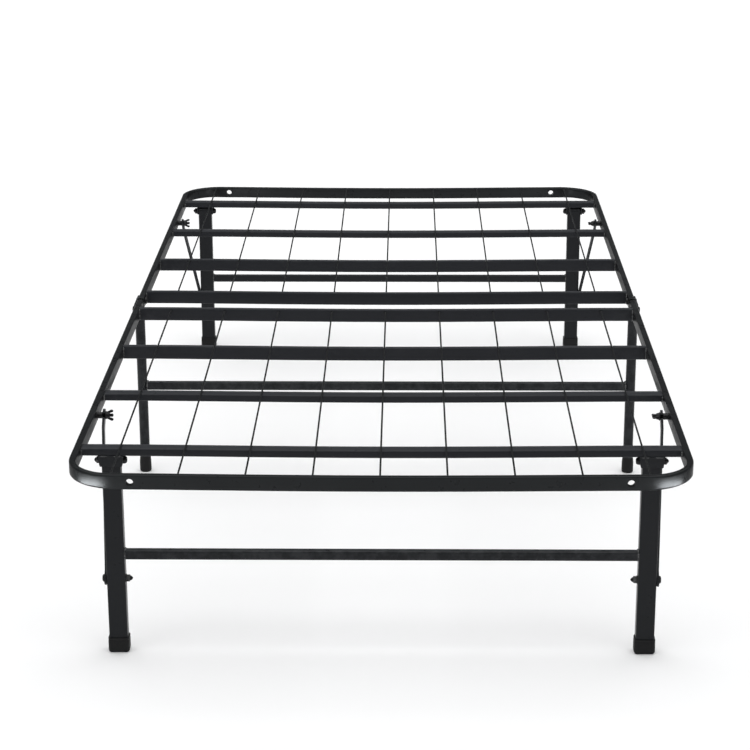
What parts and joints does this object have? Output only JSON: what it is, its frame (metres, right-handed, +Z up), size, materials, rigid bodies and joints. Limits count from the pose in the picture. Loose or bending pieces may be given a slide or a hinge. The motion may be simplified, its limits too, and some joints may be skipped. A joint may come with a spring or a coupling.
{
  "type": "folding metal bed frame",
  "caption": "Black steel platform bed frame that folds in half: rounded tube rim, cross slats, lengthwise wires, braced folding end legs and a centre support frame.",
  "frame": {"origin": "on the floor under the middle of the bed, the bounding box's bottom centre", "axes": "+Y along the bed from the front half to the back half, +X across the bed to the right seen from the front end, +Z up"},
  "size_m": [0.981, 1.905, 0.3556],
  "materials": {
    "powder_coat": "satin black powder coat",
    "hardware": "black zinc",
    "foot_plastic": "matte black moulded plastic"
  },
  "bodies": {
    "centre_support": {"centre_leg_bar": "powder_coat", "hinge_plate_left": "powder_coat", "hinge_plate_right": "powder_coat", "centre_leg_left": "powder_coat", "centre_leg_right": "powder_coat", "centre_foot_left": "foot_plastic", "centre_foot_right": "foot_plastic"},
    "front_deck": {"front_rim": "powder_coat", "front_end_slat": "powder_coat", "front_inner_slat": "powder_coat", "front_middle_slat": "powder_coat", "front_hinge_slat": "powder_coat", "front_wire_1": "powder_coat", "front_wire_2": "powder_coat", "front_wire_3": "powder_coat", "front_wire_4": "powder_coat", "front_wire_5": "powder_coat", "front_wire_6": "powder_coat", "front_wire_7": "powder_coat", "front_wire_8": "powder_coat", "front_wire_9": "powder_coat", "front_pivot_bracket_left": "powder_coat", "front_pivot_bracket_right": "powder_coat"},
    "front_legs": {"front_leg_bar": "powder_coat", "front_leg_left": "powder_coat", "front_leg_right": "powder_coat", "front_foot_left": "foot_plastic", "front_foot_right": "foot_plastic"},
    "front_brace_left": {"front_brace_left": "powder_coat"},
    "front_wing_nut_left": {"front_wing_nut_left": "hardware"},
    "front_brace_right": {"front_brace_right": "powder_coat"},
    "front_wing_nut_right": {"front_wing_nut_right": "hardware"},
    "back_deck": {"back_rim": "powder_coat", "back_end_slat": "powder_coat", "back_inner_slat": "powder_coat", "back_middle_slat": "powder_coat", "back_hinge_slat": "powder_coat", "back_wire_1": "powder_coat", "back_wire_2": "powder_coat", "back_wire_3": "powder_coat", "back_wire_4": "powder_coat", "back_wire_5": "powder_coat", "back_wire_6": "powder_coat", "back_wire_7": "powder_coat", "back_wire_8": "powder_coat", "back_wire_9": "powder_coat", "back_pivot_bracket_left": "powder_coat", "back_pivot_bracket_right": "powder_coat"},
    "back_legs": {"back_leg_bar": "powder_coat", "back_leg_left": "powder_coat", "back_leg_right": "powder_coat", "back_foot_left": "foot_plastic", "back_foot_right": "foot_plastic"},
    "back_brace_left": {"back_brace_left": "powder_coat"},
    "back_wing_nut_left": {"back_wing_nut_left": "hardware"},
    "back_brace_right": {"back_brace_right": "powder_coat"},
    "back_wing_nut_right": {"back_wing_nut_right": "hardware"}
  },
  "joints": [
    {"name": "front_deck_fold", "type": "hinge", "parent": "centre_support", "child": "front_deck", "pos_m": [0, -0.029, 0.3436], "axis": [1, 0, 0], "range_deg": [0, 90]},
    {"name": "front_legs_fold", "type": "hinge", "parent": "front_deck", "child": "front_legs", "pos_m": [0, -0.8172, 0.3295], "axis": [1, 0, 0], "range_deg": [0, 90]},
    {"name": "front_brace_left_swing", "type": "hinge", "parent": "front_legs", "child": "front_brace_left", "pos_m": [-0.4427, -0.8172, 0.1265], "axis": [-1, 0, 0], "range_deg": [0, 145]},
    {"name": "front_wing_nut_left_turn", "type": "hinge", "parent": "front_deck", "child": "front_wing_nut_left", "pos_m": [-0.4508, -0.646, 0.3436], "axis": [1, 0, 0], "continuous": true},
    {"name": "front_brace_right_swing", "type": "hinge", "parent": "front_legs", "child": "front_brace_right", "pos_m": [0.4427, -0.8172, 0.1265], "axis": [-1, 0, 0], "range_deg": [0, 145]},
    {"name": "front_wing_nut_right_turn", "type": "hinge", "parent": "front_deck", "child": "front_wing_nut_right", "pos_m": [0.4508, -0.646, 0.3436], "axis": [1, 0, 0], "continuous": true},
    {"name": "back_deck_fold", "type": "hinge", "parent": "centre_support", "child": "back_deck", "pos_m": [0, 0.029, 0.3436], "axis": [-1, 0, 0], "range_deg": [0, 90]},
    {"name": "back_legs_fold", "type": "hinge", "parent": "back_deck", "child": "back_legs", "pos_m": [0, 0.8172, 0.3295], "axis": [-1, 0, 0], "range_deg": [0, 90]},
    {"name": "back_brace_left_swing", "type": "hinge", "parent": "back_legs", "child": "back_brace_left", "pos_m": [-0.4427, 0.8172, 0.1265], "axis": [1, 0, 0], "range_deg": [0, 145]},
    {"name": "back_wing_nut_left_turn", "type": "hinge", "parent": "back_deck", "child": "back_wing_nut_left", "pos_m": [-0.4508, 0.646, 0.3436], "axis": [1, 0, 0], "continuous": true},
    {"name": "back_brace_right_swing", "type": "hinge", "parent": "back_legs", "child": "back_brace_right", "pos_m": [0.4427, 0.8172, 0.1265], "axis": [1, 0, 0], "range_deg": [0, 145]},
    {"name": "back_wing_nut_right_turn", "type": "hinge", "parent": "back_deck", "child": "back_wing_nut_right", "pos_m": [0.4508, 0.646, 0.3436], "axis": [1, 0, 0], "continuous": true}
  ],
  "couplings": [
    {"joint": "front_brace_left_swing", "follows": "front_legs_fold", "ratio": 1.5749},
    {"joint": "front_brace_right_swing", "follows": "front_legs_fold", "ratio": 1.5749},
    {"joint": "back_brace_left_swing", "follows": "back_legs_fold", "ratio": 1.5749},
    {"joint": "back_brace_right_swing", "follows": "back_legs_fold", "ratio": 1.5749}
  ]
}
